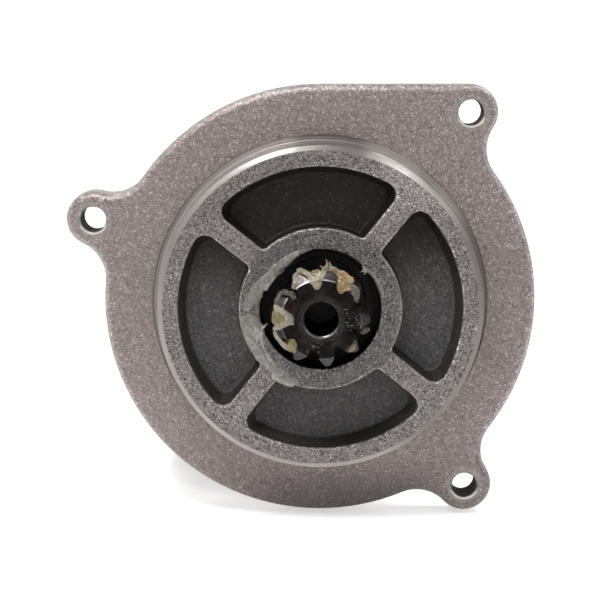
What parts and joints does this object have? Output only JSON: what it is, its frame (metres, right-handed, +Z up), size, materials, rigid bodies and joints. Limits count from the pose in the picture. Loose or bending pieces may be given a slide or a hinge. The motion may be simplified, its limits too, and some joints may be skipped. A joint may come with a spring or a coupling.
{
  "type": "starter motor",
  "caption": "Flange-mounted geared starter motor with overhung pinion, planetary reduction, one-way clutch, shift fork and side solenoid.",
  "frame": {"origin": "axis of the pinion and pilot, on the mounting face of the flange", "axes": "-Y forward along the pinion axis towards the flywheel, +Y back along the motor, +Z up, +X to the right seen from the pinion end"},
  "size_m": [0.1588, 0.2304, 0.1477],
  "materials": {
    "cast_aluminium": "shot-blasted casting",
    "bearing_steel": "ground",
    "seal_rubber": "matt",
    "pinion_steel": "black oxide, greased",
    "bronze": "sintered",
    "clutch_steel": "ground",
    "bright_steel": "turned",
    "zinc_steel": "zinc plated",
    "fork_plastic": "glass filled nylon",
    "black_paint": "semi-gloss",
    "magnet": "sintered ferrite",
    "gear_steel": "hardened",
    "phenolic": "moulded",
    "winding_copper": "enamelled copper",
    "copper": "bare copper",
    "carbon": "copper graphite",
    "laminations": "stacked laminations",
    "spring_steel": "drawn wire",
    "soft_iron": "machined",
    "bobbin_plastic": "natural nylon",
    "grommet_rubber": "matt"
  },
  "bodies": {
    "housing": {"drive_housing": "cast_aluminium", "nose_bearing": "bearing_steel", "nose_seal": "seal_rubber", "yoke": "black_paint", "field_magnets": "magnet", "ring_gear": "gear_steel", "gear_cover_plate": "bright_steel", "output_bush": "bronze", "rear_cover": "cast_aluminium", "rear_cap": "zinc_steel", "through_bolts": "zinc_steel", "brush_plate": "phenolic", "brush_holders": "bright_steel", "brush_springs": "spring_steel", "motor_link": "copper", "link_grommet": "grommet_rubber", "solenoid_case": "black_paint", "solenoid_bobbin": "bobbin_plastic", "solenoid_coil": "winding_copper", "solenoid_core": "soft_iron", "solenoid_cap": "phenolic", "solenoid_screws": "zinc_steel", "battery_stud": "copper", "motor_stud": "copper", "terminal_nuts": "zinc_steel", "signal_blade": "zinc_steel", "fork_pin": "bright_steel", "bearing_outer_race": "bearing_steel", "plunger_spring": "spring_steel", "contact_spring": "spring_steel"},
    "armature": {"armature_shaft": "bright_steel", "armature_core": "laminations", "armature_winding": "winding_copper", "commutator_bars": "copper", "commutator_hub": "phenolic", "bearing_inner_race": "bearing_steel"},
    "ball_cage": {"bearing_balls": "bearing_steel", "bearing_cage": "bright_steel"},
    "carrier": {"carrier_shaft": "bright_steel", "planet_pins": "bright_steel", "pilot_bush": "bronze"},
    "planet_1": {"planet_gear_1": "gear_steel"},
    "planet_2": {"planet_gear_2": "gear_steel"},
    "planet_3": {"planet_gear_3": "gear_steel"},
    "brush_a": {"brush_1": "carbon"},
    "brush_b": {"brush_2": "carbon"},
    "brush_c": {"brush_3": "carbon"},
    "brush_d": {"brush_4": "carbon"},
    "shift_collar": {"fork_collar": "fork_plastic"},
    "clutch": {"clutch_shell": "clutch_steel", "clutch_rollers": "bearing_steel", "clutch_springs": "spring_steel", "clutch_cover": "zinc_steel"},
    "pinion_gear": {"pinion": "pinion_steel", "pinion_bushes": "bronze"},
    "fork": {"shift_fork": "fork_plastic"},
    "plunger": {"solenoid_plunger": "soft_iron"},
    "contact": {"contact_rod": "phenolic", "contact_disc": "copper"}
  },
  "joints": [
    {"name": "armature_spin", "type": "hinge", "parent": "housing", "child": "armature", "pos_m": [0, 0.13, 0], "axis": [0, 1, 0], "continuous": true},
    {"name": "ball_cage_spin", "type": "hinge", "parent": "housing", "child": "ball_cage", "pos_m": [0, 0.187, 0], "axis": [0, 1, 0], "continuous": true},
    {"name": "carrier_spin", "type": "hinge", "parent": "housing", "child": "carrier", "pos_m": [0, 0.08, 0], "axis": [0, 1, 0], "continuous": true},
    {"name": "planet_1_spin", "type": "hinge", "parent": "carrier", "child": "planet_1", "pos_m": [0, 0.088, 0.018], "axis": [0, 1, 0], "continuous": true},
    {"name": "planet_2_spin", "type": "hinge", "parent": "carrier", "child": "planet_2", "pos_m": [-0.01559, 0.088, -0.009], "axis": [0, 1, 0], "continuous": true},
    {"name": "planet_3_spin", "type": "hinge", "parent": "carrier", "child": "planet_3", "pos_m": [0.01559, 0.088, -0.009], "axis": [0, 1, 0], "continuous": true},
    {"name": "brush_a_slide", "type": "slide", "parent": "housing", "child": "brush_a", "axis": [0.1219, 0, -0.9925], "range_m": [0, 0.0025], "stiffness_N_per_m": 1500, "springref_m": -0.004, "deforming": ["brush_springs"]},
    {"name": "brush_b_slide", "type": "slide", "parent": "housing", "child": "brush_b", "axis": [0.9925, 0, 0.1219], "range_m": [0, 0.0025], "stiffness_N_per_m": 1500, "springref_m": -0.004, "deforming": ["brush_springs"]},
    {"name": "brush_c_slide", "type": "slide", "parent": "housing", "child": "brush_c", "axis": [-0.1219, 0, 0.9925], "range_m": [0, 0.0025], "stiffness_N_per_m": 1500, "springref_m": -0.004, "deforming": ["brush_springs"]},
    {"name": "brush_d_slide", "type": "slide", "parent": "housing", "child": "brush_d", "axis": [-0.9925, 0, -0.1219], "range_m": [0, 0.0025], "stiffness_N_per_m": 1500, "springref_m": -0.004, "deforming": ["brush_springs"]},
    {"name": "plunger_slide", "type": "slide", "parent": "housing", "child": "plunger", "axis": [0, 1, 0], "range_m": [0, 0.01211], "stiffness_N_per_m": 2500, "springref_m": -0.014, "deforming": ["plunger_spring"]},
    {"name": "contact_slide", "type": "slide", "parent": "housing", "child": "contact", "axis": [0, 1, 0], "range_m": [0, 0.003], "deforming": ["contact_spring"]},
    {"name": "fork_swing", "type": "hinge", "parent": "housing", "child": "fork", "pos_m": [-0.02155, 0.0558, -0.02758], "axis": [0.788, 0, -0.6157], "range_deg": [0, 26.43]},
    {"name": "collar_slide", "type": "slide", "parent": "housing", "child": "shift_collar", "axis": [0, -1, 0], "range_m": [0, 0.01601]},
    {"name": "clutch_spin", "type": "hinge", "parent": "shift_collar", "child": "clutch", "pos_m": [0, 0.05, 0], "axis": [0, 1, 0], "continuous": true},
    {"name": "pinion_overrun", "type": "hinge", "parent": "clutch", "child": "pinion_gear", "pos_m": [0, 0, 0], "axis": [0, 1, 0], "continuous": true}
  ],
  "couplings": [
    {"joint": "carrier_spin", "follows": "armature_spin", "ratio": 0.22917},
    {"joint": "clutch_spin", "follows": "armature_spin", "ratio": 0.22917},
    {"joint": "ball_cage_spin", "follows": "armature_spin", "ratio": 0.38043},
    {"joint": "planet_1_spin", "follows": "armature_spin", "ratio": -0.65224},
    {"joint": "planet_2_spin", "follows": "armature_spin", "ratio": -0.65224},
    {"joint": "planet_3_spin", "follows": "armature_spin", "ratio": -0.65224},
    {"joint": "collar_slide", "follows": "plunger_slide", "ratio": 1.3208},
    {"joint": "fork_swing", "follows": "plunger_slide", "rad_per_m": 38.073},
    {"joint": "contact_slide", "follows": "plunger_slide", "ratio": 0.24764}
  ]
}
